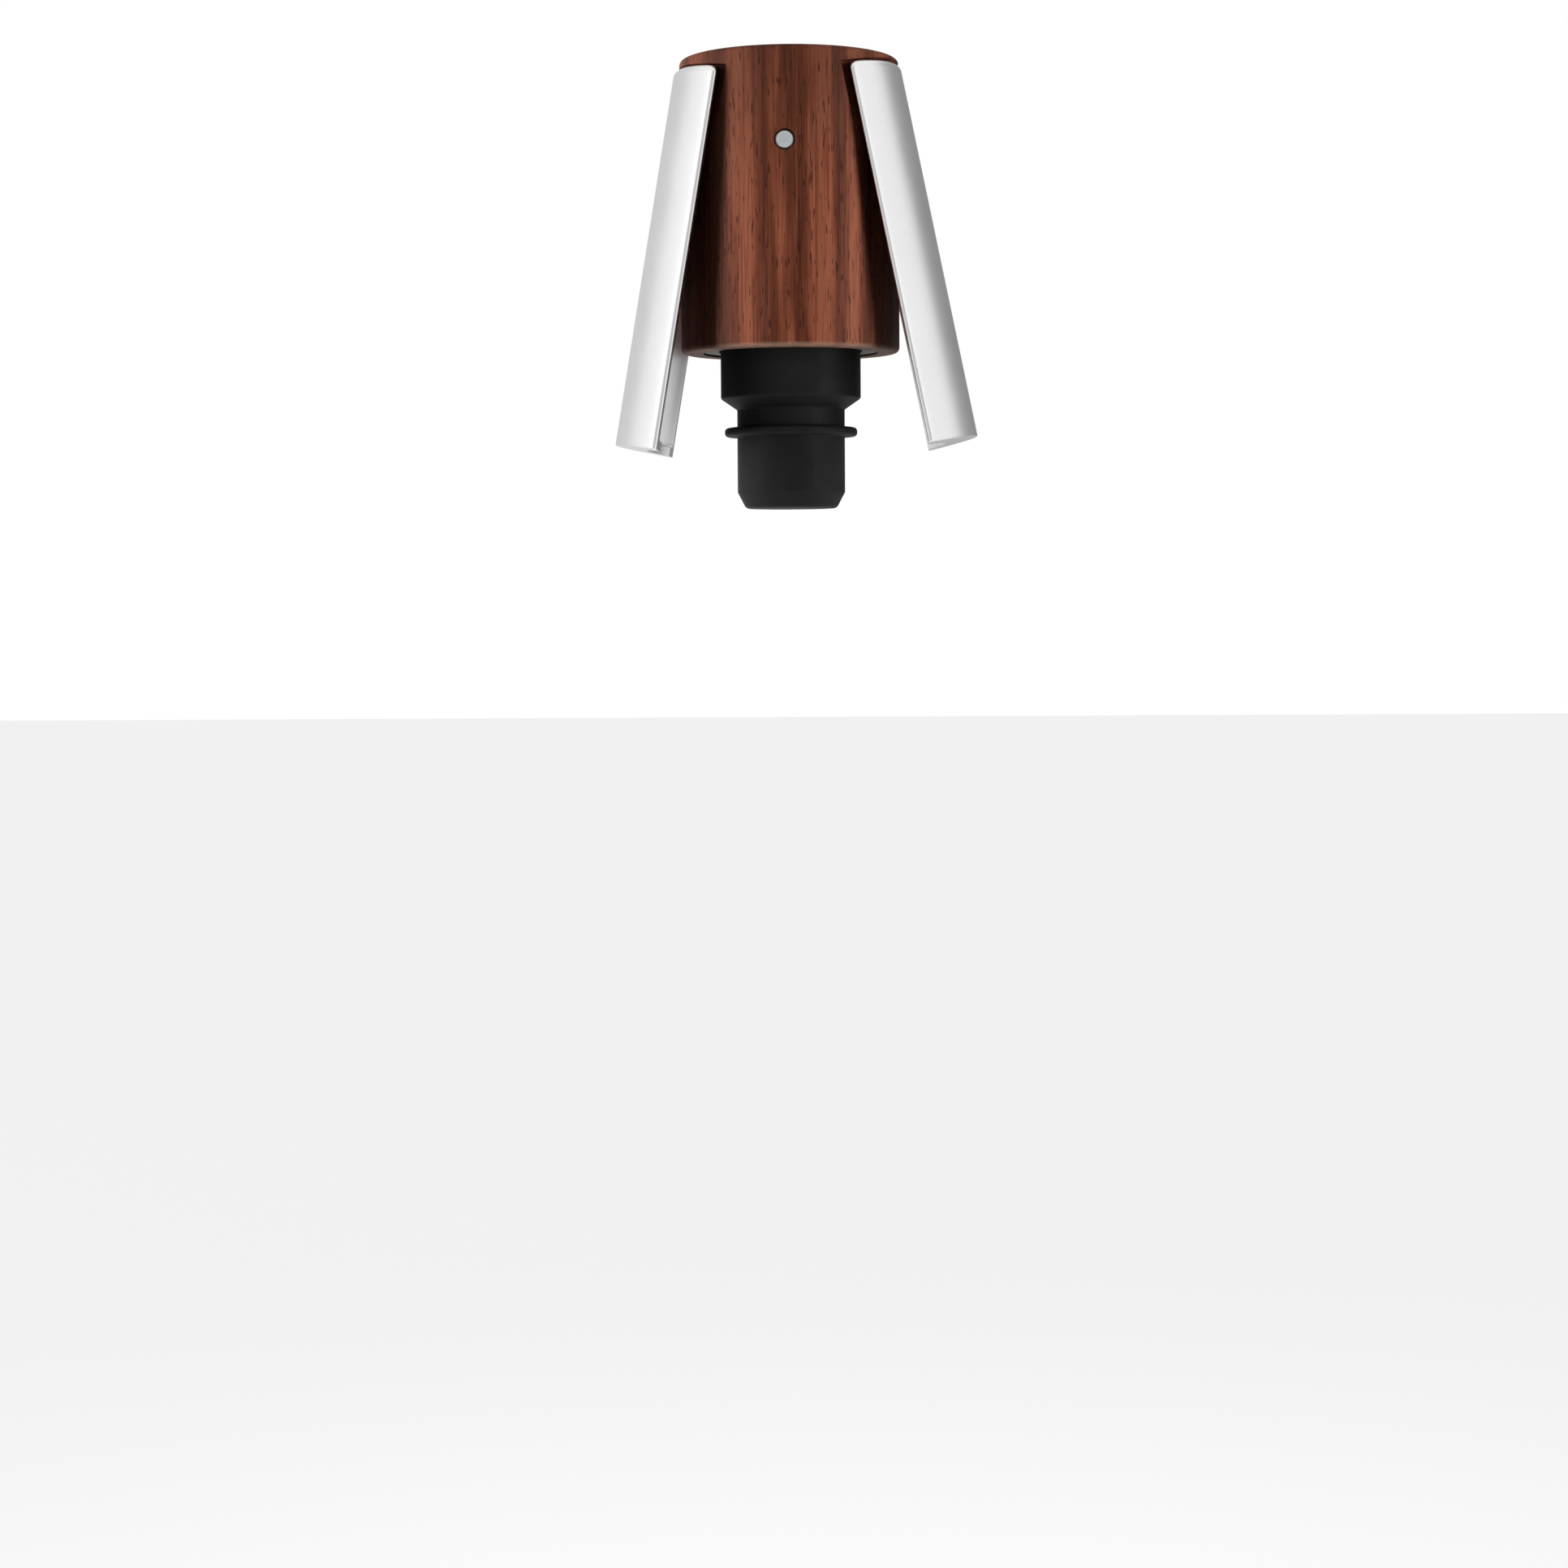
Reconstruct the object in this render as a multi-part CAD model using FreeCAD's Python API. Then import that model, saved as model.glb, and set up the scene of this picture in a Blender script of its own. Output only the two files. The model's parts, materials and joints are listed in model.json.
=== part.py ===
import FreeCAD, Part
import math
import os
from FreeCAD import Vector

# Champagne stopper. A turned wooden head carries two hinged metal wings on a cross pin.
# The head slides down over a sprung rubber seal, and the wings then close under the
# collar of the bottle. All sizes are in millimetres.
# The origin is on the axis, at the underside of the rubber flange, where the mouth of
# the bottle meets it. +Z is up, X runs across the two wings and -Y is the front.

# Rubber seal
flange_step = 2.0
flange_t = 1.4
flange_edge_r = 0.55
neck_r = 8.65
neck_top_z = 4.3
seat_bottom_z = 6.1
seat_r = 11.25
seat_top_z = 15.3
plug_length = 11.5
plug_lead = 2.6
plug_lead_r = 7.3
plug_end_edge_r = 0.9

# Seal core: the disc and barbed stem that carry the rubber
core_lip = 1.75
core_disc_t = 2.0
core_stem_r = 4.0
core_stem_length = 17.0
core_barb_r = 5.2
core_barb_t = 2.4
core_barb_z = 2.6
core_spring_boss_r = 7.6
core_spring_boss_t = 1.6

# Wooden head
wood_wall = 3.5
wood_bottom_z = 13.3
wood_height = 46.3
wood_top_edge_r = 0.7
wood_bottom_edge_r = 0.8

# Guide sleeve and retaining ring in the recess
sleeve_wall = 0.8
sleeve_lip_t = 1.0
sleeve_hole_r = 6.5
sleeve_inset = 0.3
sleeve_core_clearance = 0.17
ring_t = 1.5
ring_bore_clearance = 0.3
ring_core_gap = 0.2
press_clearance = 0.03

# Return spring between the seal core and the top of the sleeve
return_wire_r = 0.45
return_coil_r = 9.2
return_turns = 6
return_seat_gap = 0.1

# Travel of the head down onto the bottle
head_travel = 12.8

# Cross pin
pin_above_bottom = 31.7
pin_r = 1.5
pin_end_chamfer = 0.25
pin_wood_clearance = 0.02
pin_eye_clearance = 0.06

# Wings: one casting, fitted twice, turned half round
wing_wall = 2.3
wing_wood_gap = 0.4
wing_edge_x = 12.2
wing_top_above_pin = 10.0
wing_bottom_below_pin = 50.3
wing_edge_r = 0.45
wing_corner_r = 1.3
hook_t = 1.5
hook_inner_r = 15.0
lug_t = 2.0
lug_gap = 0.3
lug_eye_r = 3.5
lug_inner_y = 1.8
left_open_deg = 9.6
right_open_deg = 11.7

# Torsion spring that holds the wings open
torsion_wire_r = 0.35
torsion_turns = 3
torsion_turn_gap = 0.15
torsion_pin_gap = 0.35
torsion_leg_gap = 0.4

# Clearances in the wood around the moving wings
slot_clearance = 0.5
relief_clearance = 0.3
relief_side_clearance = 1.2

# Worked-out sizes and places
flange_r = neck_r + flange_step
core_disc_r = seat_r + core_lip
sleeve_inner_r = core_disc_r + sleeve_core_clearance
sleeve_outer_r = sleeve_inner_r + sleeve_wall
recess_r = sleeve_outer_r + press_clearance
wood_r = recess_r + wood_wall
wing_inner_r = wood_r + wing_wood_gap
wing_outer_r = wing_inner_r + wing_wall
wood_top_z = wood_bottom_z + wood_height
core_disc_top_z = seat_top_z + core_disc_t
return_pressed_length = 2 * return_wire_r * (return_turns + 1) + 2 * return_seat_gap
sleeve_top_z = core_disc_top_z + head_travel + return_pressed_length + sleeve_lip_t
recess_top_z = sleeve_top_z + press_clearance
pin_z = wood_bottom_z + pin_above_bottom
lug_pitch = lug_t + lug_gap
lug_outer_y = lug_inner_y + 2 * lug_t + lug_gap


def cylinder(radius, bottom_z, top_z):
    return Part.makeCylinder(radius, top_z - bottom_z, Vector(0, 0, bottom_z))


def cylinder_along_y(radius, low_y, high_y, centre_z):
    return Part.makeCylinder(radius, high_y - low_y, Vector(0, low_y, centre_z), Vector(0, 1, 0))


def box_between(low, high):
    size = high.sub(low)
    return Part.makeBox(size.x, size.y, size.z, low)


def revolved(points):
    """Turn a closed outline of (radius, z) points about the axis."""
    corners = [Vector(radius, 0, z) for radius, z in points]
    face = Part.Face(Part.makePolygon(corners + [corners[0]]))
    return face.revolve(Vector(0, 0, 0), Vector(0, 0, 1), 360)


def round_circles(shape, radius_of_edge, z_of_edge, fillet_r):
    """Round each full circular edge of the given radius that lies at the given height."""
    chosen = []
    for edge in shape.Edges:
        curve = edge.Curve
        if not isinstance(curve, Part.Circle):
            continue
        if abs(curve.Radius - radius_of_edge) > 0.001:
            continue
        if abs(curve.Center.z - z_of_edge) > 0.001:
            continue
        chosen.append(edge)
    return shape.makeFillet(fillet_r, chosen)


def make_rubber_seal():
    """Flange, neck and seat moulded with the plug as one rubber piece on the core stem."""
    plug_end_z = -plug_length
    outline = [
        (0, plug_end_z),
        (plug_lead_r, plug_end_z),
        (neck_r, plug_end_z + plug_lead),
        (neck_r, 0),
        (flange_r, 0),
        (flange_r, flange_t),
        (neck_r, flange_t),
        (neck_r, neck_top_z),
        (seat_r, seat_bottom_z),
        (seat_r, seat_top_z),
        (0, seat_top_z),
    ]
    seal = revolved(outline)
    seal = round_circles(seal, plug_lead_r, plug_end_z, plug_end_edge_r)
    seal = round_circles(seal, flange_r, 0, flange_edge_r)
    seal = round_circles(seal, flange_r, flange_t, flange_edge_r)
    seal = round_circles(seal, seat_r, seat_bottom_z, flange_edge_r)
    return seal.cut(make_core_stem())


def make_core_stem():
    """Stem under the core disc, with a barb that keeps the rubber on it."""
    stem_end_z = seat_top_z - core_stem_length
    outline = [
        (0, stem_end_z),
        (core_stem_r, stem_end_z),
        (core_stem_r, core_barb_z),
        (core_barb_r, core_barb_z + core_barb_t),
        (core_barb_r, core_barb_z + core_barb_t + core_barb_t / 2),
        (core_stem_r, core_barb_z + core_barb_t + core_barb_t / 2),
        (core_stem_r, seat_top_z),
        (0, seat_top_z),
    ]
    return revolved(outline)


def make_seal_core():
    """Sliding disc with a low boss for the spring above and the barbed stem below."""
    disc = cylinder(core_disc_r, seat_top_z, core_disc_top_z)
    boss = cylinder(core_spring_boss_r, core_disc_top_z, core_disc_top_z + core_spring_boss_t)
    return disc.fuse([boss, make_core_stem()]).removeSplitter()


def make_guide_sleeve():
    """Thin cup pressed into the head: it guides the core and backs the spring."""
    outer = cylinder(sleeve_outer_r, wood_bottom_z + sleeve_inset, sleeve_top_z)
    inside = cylinder(sleeve_inner_r, wood_bottom_z, sleeve_top_z - sleeve_lip_t)
    hole = cylinder(sleeve_hole_r, wood_bottom_z, sleeve_top_z)
    return outer.cut([inside, hole])


def make_retaining_ring():
    """Ring in the mouth of the sleeve that keeps the core from dropping out."""
    top_z = seat_top_z - ring_core_gap
    ring = cylinder(sleeve_inner_r - press_clearance, top_z - ring_t, top_z)
    bore = cylinder(seat_r + ring_bore_clearance, top_z - ring_t, top_z)
    return ring.cut(bore)


def coil_of_half_turns(wire_r, coil_r, pitch, turns):
    """Round wire in half turns about +Z, from (coil_r, 0, 0) on.

    Each half turn is a circular arc in its own tilted plane, so that one runs into the
    next square to the axis.
    """
    pieces = []
    for half in range(2 * turns):
        side = 1 - 2 * (half % 2)
        begin = Vector(side * coil_r, 0, half * pitch / 2)
        finish = Vector(-side * coil_r, 0, (half + 1) * pitch / 2)
        centre = (begin + finish) * 0.5
        turn_axis = (begin - centre).cross(Vector(0, side, 0))
        circle = Part.Circle(begin, Vector(0, 1, 0), wire_r)
        section = Part.Face(Part.Wire([circle.toShape()]))
        pieces.append(section.revolve(centre, turn_axis, 180))
    return pieces[0].fuse(pieces[1:])


def make_return_spring():
    """Compression spring from the core disc up to the top of the sleeve."""
    low_z = core_disc_top_z + return_wire_r + return_seat_gap
    high_z = sleeve_top_z - sleeve_lip_t - return_wire_r - return_seat_gap
    pitch = (high_z - low_z) / return_turns
    spring = coil_of_half_turns(return_wire_r, return_coil_r, pitch, return_turns)
    spring.translate(Vector(0, 0, low_z))
    return spring


def make_pivot_pin():
    """Cross pin through the head along Y, ends just below the round of the wood."""
    half = wood_r - pin_end_chamfer / 2
    pin = cylinder_along_y(pin_r, -half, half, pin_z)
    ends = [edge for edge in pin.Edges if isinstance(edge.Curve, Part.Circle)]
    return pin.makeChamfer(pin_end_chamfer, ends)


def wing_shell(outer_r, inner_r, edge_x, bottom_z, top_z):
    """Round wall between two radii, kept on the +X side of a flat cut."""
    wall = cylinder(outer_r, bottom_z, top_z).cut(cylinder(inner_r, bottom_z, top_z))
    keep = box_between(Vector(edge_x, -outer_r, bottom_z), Vector(outer_r, outer_r, top_z))
    return wall.common(keep)


def make_wing_blank():
    """Closed right wing without its lugs: curved wall and hook plate at the foot."""
    top_z = pin_z + wing_top_above_pin
    bottom_z = pin_z - wing_bottom_below_pin
    wall = wing_shell(wing_outer_r, wing_inner_r, wing_edge_x, bottom_z, top_z)
    upright = [edge for edge in wall.Edges if is_wing_corner(edge, top_z)]
    wall = wall.makeFillet(wing_corner_r, upright)
    rim = [edge for edge in wall.Edges if is_outer_rim_edge(edge, top_z)]
    wall = wall.makeFillet(wing_edge_r, rim)
    hook_outer_r = wing_inner_r + wing_wall / 2
    hook = wing_shell(hook_outer_r, hook_inner_r, wing_edge_x, bottom_z, bottom_z + hook_t)
    return wall.fuse(hook).removeSplitter()


def is_wing_corner(edge, top_z):
    """The short edges across the wall at its two top corners."""
    ends = [vertex.Point for vertex in edge.Vertexes]
    if len(ends) != 2:
        return False
    flat = all(abs(point.z - top_z) < 0.001 for point in ends)
    across = all(abs(point.x - wing_edge_x) < 0.001 for point in ends)
    return flat and across


def is_outer_rim_edge(edge, top_z):
    """The top edge of the outer face; its rounding runs on down both long edges."""
    middle = edge.valueAt((edge.FirstParameter + edge.LastParameter) / 2)
    outside = abs(math.hypot(middle.x, middle.y) - wing_outer_r) < 0.001
    return outside and middle.z > top_z - wing_corner_r and abs(middle.z - top_z) < wing_corner_r


def make_lug(low_y):
    """One lug: a plate from the wall to the pin, with a round eye."""
    eye = cylinder_along_y(lug_eye_r, low_y, low_y + lug_t, pin_z)
    reach = wing_inner_r + wing_wall / 2
    arm = box_between(
        Vector(0, low_y, pin_z - lug_eye_r),
        Vector(reach, low_y + lug_t, pin_z + lug_eye_r),
    )
    return eye.fuse(arm)


def make_closed_wing():
    """Wing with its lugs, one near the middle and one a pitch outside its twin's."""
    lugs = [make_lug(-lug_inner_y - lug_t), make_lug(lug_inner_y + lug_pitch)]
    wing = make_wing_blank().fuse(lugs).removeSplitter()
    eye_hole = cylinder_along_y(pin_r + pin_eye_clearance, -wing_outer_r, wing_outer_r, pin_z)
    return wing.cut(eye_hole)


def turned_about_pin(shape, degrees):
    turned = shape.copy()
    turned.rotate(Vector(0, 0, pin_z), Vector(0, 1, 0), degrees)
    return turned


def turned_half_round(shape):
    turned = shape.copy()
    turned.rotate(Vector(0, 0, 0), Vector(0, 0, 1), 180)
    return turned


def make_right_wing():
    return turned_about_pin(make_closed_wing(), -right_open_deg)


def make_left_wing():
    return turned_about_pin(turned_half_round(make_closed_wing()), left_open_deg)


def wing_relief():
    """Space that the top of one opened wing needs in the head, with its clearance."""
    inner_r = wing_inner_r - relief_clearance
    low_z = pin_z - wing_bottom_below_pin
    high_z = pin_z + wing_top_above_pin + relief_clearance
    edge_x = wing_edge_x - relief_side_clearance
    return wing_shell(2 * wing_outer_r, inner_r, edge_x, low_z, high_z)


def lug_slot():
    """Slot across the head that the lugs swing in, closed at the top and bottom."""
    half_y = lug_outer_y + slot_clearance
    swing = wood_r * math.sin(math.radians(max(left_open_deg, right_open_deg)))
    low_z = pin_z - lug_eye_r - slot_clearance
    high_z = pin_z + lug_eye_r + slot_clearance + swing
    return box_between(
        Vector(-wood_r - 1, -half_y, low_z),
        Vector(wood_r + 1, half_y, high_z),
    )


def make_wood_body():
    """Turned head, bored from below, slotted for the lugs and cut away for the wings."""
    body = cylinder(wood_r, wood_bottom_z, wood_top_z)
    body = round_circles(body, wood_r, wood_top_z, wood_top_edge_r)
    body = round_circles(body, wood_r, wood_bottom_z, wood_bottom_edge_r)
    cuts = [
        cylinder(recess_r, wood_bottom_z, recess_top_z),
        lug_slot(),
        cylinder_along_y(pin_r + pin_wood_clearance, -wood_r, wood_r, pin_z),
        turned_about_pin(wing_relief(), -right_open_deg),
        turned_about_pin(turned_half_round(wing_relief()), left_open_deg),
    ]
    return body.cut(cuts)


def make_torsion_spring():
    """Turns of wire round the middle of the pin, with one leg out towards each wing."""
    coil_r = pin_r + torsion_pin_gap + torsion_wire_r
    pitch = 2 * torsion_wire_r + torsion_turn_gap
    width = pitch * torsion_turns
    leg = wing_inner_r - torsion_leg_gap
    coil = coil_of_half_turns(torsion_wire_r, coil_r, pitch, torsion_turns)
    legs = [
        Part.makeCylinder(torsion_wire_r, leg, Vector(coil_r, -leg, 0), Vector(0, 1, 0)),
        Part.makeCylinder(torsion_wire_r, leg, Vector(coil_r, 0, width), Vector(0, 1, 0)),
    ]
    spring = coil.fuse(legs)
    spring.translate(Vector(0, 0, -width / 2))
    spring.rotate(Vector(0, 0, 0), Vector(0, 0, 1), 90)
    spring.rotate(Vector(0, 0, 0), Vector(1, 0, 0), -90)
    spring.translate(Vector(0, 0, pin_z))
    return spring


nodes = {
    "wood_body": make_wood_body,
    "pivot_pin": make_pivot_pin,
    "left_wing": make_left_wing,
    "right_wing": make_right_wing,
    "torsion_spring": make_torsion_spring,
    "guide_sleeve": make_guide_sleeve,
    "retaining_ring": make_retaining_ring,
    "return_spring": make_return_spring,
    "seal_core": make_seal_core,
    "rubber_seal": make_rubber_seal,
}

os.makedirs("parts", exist_ok=True)
for name, make in nodes.items():
    solid = make()
    solid.exportStep("parts/" + name + ".step")
    print(name, "solids", len(solid.Solids), "valid", solid.isValid(), "volume", round(solid.Volume, 1))
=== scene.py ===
import json
import math

import bpy
import numpy as np
from mathutils import Matrix, Vector


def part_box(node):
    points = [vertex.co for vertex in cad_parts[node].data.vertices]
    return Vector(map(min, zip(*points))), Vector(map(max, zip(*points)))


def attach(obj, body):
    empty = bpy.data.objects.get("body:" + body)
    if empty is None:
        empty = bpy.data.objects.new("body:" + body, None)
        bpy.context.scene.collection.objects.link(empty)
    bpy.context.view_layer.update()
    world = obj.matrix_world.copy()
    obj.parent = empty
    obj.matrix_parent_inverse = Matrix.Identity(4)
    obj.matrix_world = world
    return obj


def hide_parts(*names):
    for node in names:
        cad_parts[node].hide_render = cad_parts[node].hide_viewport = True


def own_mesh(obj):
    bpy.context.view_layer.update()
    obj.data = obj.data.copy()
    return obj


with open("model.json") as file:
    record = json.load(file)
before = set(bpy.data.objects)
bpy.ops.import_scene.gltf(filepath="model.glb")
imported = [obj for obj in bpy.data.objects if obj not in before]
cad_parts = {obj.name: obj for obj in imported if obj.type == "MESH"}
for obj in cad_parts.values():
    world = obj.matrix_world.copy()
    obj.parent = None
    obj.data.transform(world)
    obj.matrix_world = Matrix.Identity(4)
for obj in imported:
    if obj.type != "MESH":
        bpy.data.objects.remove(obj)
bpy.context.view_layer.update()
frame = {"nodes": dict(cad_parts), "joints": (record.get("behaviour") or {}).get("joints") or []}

# Rubber seal. A black rubber moulding: a plug for the bore that it closes, a thin flange
# that lies on the mouth, a narrow neck and a wide seat that goes up into the wooden head.
# It is pushed over the barbed stem of the core, and it keeps the dull face of its mould.
MM = 0.001
seal_low, seal_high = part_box("rubber_seal")
SEAL_SEAT_R = seal_high.x
SEAL_NECK_R = 8.65 * MM
SEAL_FLANGE_R = SEAL_NECK_R + 2.0 * MM
SEAL_FLANGE_T = 1.4 * MM
SEAL_NECK_TOP_Z = 4.3 * MM
SEAL_SEAT_BOTTOM_Z = 6.1 * MM
SEAL_LEAD_R = 7.3 * MM
SEAL_LEAD_H = 2.6 * MM
SEAL_TIP_EDGE_R = 0.9 * MM
SEAL_LEAD_EDGE_R = 0.6 * MM
SEAL_FOLD_R = 0.15 * MM
SEAL_TOP_EDGE_R = 0.2 * MM
SEAL_EDGE_R = 0.55 * MM
SEAL_NECK_FILLET_R = 0.35 * MM
SEAL_STEM_R = 4.0 * MM
ROUND_STEPS = 8
TURN_STEPS = 192


def rounded_outline(points, radii, steps=ROUND_STEPS):
    """Points of a path with each corner replaced by an arc of its own radius.

    The arc touches both sides at radius / tan(half the inside angle) from the corner.
    """
    points = np.array(points, float)
    path = [points[:1]]
    for before, corner, after, radius in zip(points, points[1:], points[2:], radii):
        if radius == 0:
            path.append(corner[None])
            continue
        back = (before - corner) / np.linalg.norm(before - corner)
        ahead = (after - corner) / np.linalg.norm(after - corner)
        half = np.arccos(np.clip(back @ ahead, -1, 1)) / 2
        middle = (back + ahead) / np.linalg.norm(back + ahead)
        centre = corner + middle * radius / np.sin(half)
        start = corner + back * radius / np.tan(half) - centre
        finish = corner + ahead * radius / np.tan(half) - centre
        sweep = math.pi - 2 * half
        share = np.linspace(0, 1, steps + 1)[:, None]
        arc = (np.sin((1 - share) * sweep) * start + np.sin(share * sweep) * finish) / np.sin(sweep)
        path.append(centre + arc)
    path.append(points[-1:])
    return np.concatenate(path)


def smooth(piece, sharp_degrees=35):
    """Shade smooth, but for edges that turn more than the given angle."""
    piece.data.shade_smooth()
    piece.data.set_sharp_from_angle(angle=math.radians(sharp_degrees))


def new_piece(name, vertices, faces, sharp_degrees=35):
    """A mesh object whose place is in its mesh: the object itself stays at the origin."""
    mesh = bpy.data.meshes.new(name)
    mesh.from_pydata(vertices.tolist(), [], faces)
    mesh.update()
    piece = bpy.data.objects.new(name, mesh)
    bpy.context.scene.collection.objects.link(piece)
    smooth(piece, sharp_degrees)
    return piece


def turned(outline, steps=TURN_STEPS):
    """Vertices and faces of an outline (r, h) turned about Z: x = r cos a, y = r sin a, z = h.

    The outline starts and ends on the axis, so each end is one vertex with a fan of faces,
    and it runs up the outside, which turns the faces outwards.
    """
    angle = np.linspace(0, 2 * math.pi, steps, endpoint=False)
    radius, height = outline[1:-1, 0], outline[1:-1, 1]
    grid = np.stack(
        [
            np.outer(radius, np.cos(angle)),
            np.outer(radius, np.sin(angle)),
            np.outer(height, np.ones(steps)),
        ],
        axis=-1,
    ).reshape(-1, 3)
    ends = np.array([[0, 0, outline[0, 1]], [0, 0, outline[-1, 1]]])
    row = np.arange(len(radius) - 1)[:, None] * steps
    column = np.arange(steps)[None, :]
    ahead = (column + 1) % steps
    quads = np.stack([row + column, row + ahead, row + steps + ahead, row + steps + column], axis=-1)
    low, high = len(grid), len(grid) + 1
    last = (len(radius) - 1) * steps
    fan = np.arange(steps)
    next_fan = (fan + 1) % steps
    bottom = np.stack([np.full(steps, low), next_fan, fan], axis=-1)
    top = np.stack([np.full(steps, high), last + fan, last + next_fan], axis=-1)
    faces = quads.reshape(-1, 4).tolist() + bottom.tolist() + top.tolist()
    return np.concatenate([grid, ends]), faces


def to_linear(code):
    """An sRGB hex colour as linear red, green, blue and alpha."""
    srgb = np.array([int(code[place:place + 2], 16) for place in (1, 3, 5)]) / 255
    linear = np.where(srgb <= 0.04045, srgb / 12.92, ((srgb + 0.055) / 1.055) ** 2.4)
    return (*linear.tolist(), 1.0)


def add(tree, kind, inputs=None, **settings):
    """Add a shader node with its settings; an input is a value or another node's output."""
    made = tree.nodes.new(kind)
    for key, value in settings.items():
        setattr(made, key, value)
    for key, value in (inputs or {}).items():
        if isinstance(value, bpy.types.NodeSocket):
            tree.links.new(value, made.inputs[key])
        else:
            made.inputs[key].default_value = value
    return made


def new_material(name):
    """A material with an empty node tree, and that tree."""
    material = bpy.data.materials.new(name)
    material.use_nodes = True
    material.node_tree.nodes.clear()
    return material, material.node_tree


def grain(tree, place, width, length, detail=2.0, roughness=0.5, shift=(0.0, 0.0, 0.0)):
    """Noise whose cells have a real width across the piece and a real length along Z."""
    cells = (1 / width, 1 / width, 1 / length)
    drawn_out = add(tree, "ShaderNodeMapping", {"Vector": place, "Location": shift, "Scale": cells})
    noise = add(
        tree,
        "ShaderNodeTexNoise",
        {"Vector": drawn_out.outputs["Vector"], "Scale": 1.0, "Detail": detail, "Roughness": roughness},
    )
    return noise.outputs["Fac"]


def two_tones(tree, pattern, low, high, dark, light):
    """A colour that goes from dark to light while the pattern rises from low to high."""
    share = add(tree, "ShaderNodeMapRange", {"Value": pattern, "From Min": low, "From Max": high})
    colour = add(
        tree,
        "ShaderNodeMix",
        {"Factor": share.outputs["Result"], "A": to_linear(dark), "B": to_linear(light)},
        data_type="RGBA",
    )
    return colour.outputs["Result"]


def moulded_rubber():
    """Black rubber, pressed in a steel mould and left as it comes out.

    The carbon in it makes it nearly black. A thin bloom gives dull, cloudy patches, and the
    grain of the mould breaks up its sheen. The grain is drawn coarser than the real one.
    """
    material, tree = new_material("moulded_black_rubber")
    place = add(tree, "ShaderNodeTexCoord").outputs["Object"]
    bloom = grain(tree, place, 6.25 * MM, 6.25 * MM, detail=4.0)
    mould_grain = grain(tree, place, 0.192 * MM, 0.192 * MM)
    rough = add(tree, "ShaderNodeMapRange", {"Value": bloom, "To Min": 0.5, "To Max": 0.62})
    bump = add(tree, "ShaderNodeBump", {"Height": mould_grain, "Strength": 0.12, "Distance": 0.05 * MM})
    shader = add(
        tree,
        "ShaderNodeBsdfPrincipled",
        {
            "Base Color": two_tones(tree, bloom, 0.35, 0.7, "#161616", "#1d1d1d"),
            "Roughness": rough.outputs["Result"],
            "Normal": bump.outputs["Normal"],
            "IOR": 1.52,
            "Specular IOR Level": 0.13,
        },
    )
    add(tree, "ShaderNodeOutputMaterial", {"Surface": shader.outputs[0]})
    return material


seal_outline = rounded_outline(
    [
        (0, seal_low.z),
        (SEAL_LEAD_R, seal_low.z),
        (SEAL_NECK_R, seal_low.z + SEAL_LEAD_H),
        (SEAL_NECK_R, 0),
        (SEAL_FLANGE_R, 0),
        (SEAL_FLANGE_R, SEAL_FLANGE_T),
        (SEAL_NECK_R, SEAL_FLANGE_T),
        (SEAL_NECK_R, SEAL_NECK_TOP_Z),
        (SEAL_SEAT_R, SEAL_SEAT_BOTTOM_Z),
        (SEAL_SEAT_R, seal_high.z),
        (SEAL_STEM_R, seal_high.z),
        (0, seal_high.z),
    ],
    [
        SEAL_TIP_EDGE_R,
        SEAL_LEAD_EDGE_R,
        SEAL_FOLD_R,
        SEAL_EDGE_R,
        SEAL_EDGE_R,
        SEAL_NECK_FILLET_R,
        SEAL_NECK_FILLET_R,
        SEAL_EDGE_R,
        SEAL_TOP_EDGE_R,
        0,
    ],
)
rubber_seal_piece = new_piece("rubber_seal_moulding", *turned(seal_outline))
rubber_seal_piece.data.materials.append(moulded_rubber())
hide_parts("rubber_seal")
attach(rubber_seal_piece, "seal")


# Seal core. A black moulded disc that slides in the sleeve, with a boss that centres the
# spring and a barbed stem that holds the rubber. Nothing but its rim can ever be seen.
def moulded_plastic(name, dark, light):
    """Filled nylon, injection moulded in a spark-eroded mould.

    Its colour is nearly even, its gloss soft, and the spark grain of the mould dulls it.
    """
    material, tree = new_material(name)
    place = add(tree, "ShaderNodeTexCoord").outputs["Object"]
    cloud = grain(tree, place, 4.5 * MM, 4.5 * MM, detail=3.0)
    spark_grain = grain(tree, place, 0.25 * MM, 0.25 * MM, detail=1.0)
    rough = add(tree, "ShaderNodeMapRange", {"Value": cloud, "To Min": 0.38, "To Max": 0.5})
    bump = add(tree, "ShaderNodeBump", {"Height": spark_grain, "Strength": 0.1, "Distance": 0.04 * MM})
    shader = add(
        tree,
        "ShaderNodeBsdfPrincipled",
        {
            "Base Color": two_tones(tree, cloud, 0.3, 0.7, dark, light),
            "Roughness": rough.outputs["Result"],
            "Normal": bump.outputs["Normal"],
            "IOR": 1.49,
        },
    )
    add(tree, "ShaderNodeOutputMaterial", {"Surface": shader.outputs[0]})
    return material


def dress(node_name, material):
    """Give a carried-over piece its material in place of the plain one."""
    materials = frame["nodes"][node_name].data.materials
    materials.clear()
    materials.append(material)


dress("seal_core", moulded_plastic("moulded_core_plastic", "#262422", "#33302d"))

# Return spring. Drawn steel wire wound into an open coil; it stands on the core and
# pushes the head up, and it shortens when the head is pressed down.
SPRING_WIRE_R = 0.45 * MM
SPRING_COIL_R = 9.2 * MM
SPRING_TURNS = 6
spring_low, spring_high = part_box("return_spring")


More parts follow.
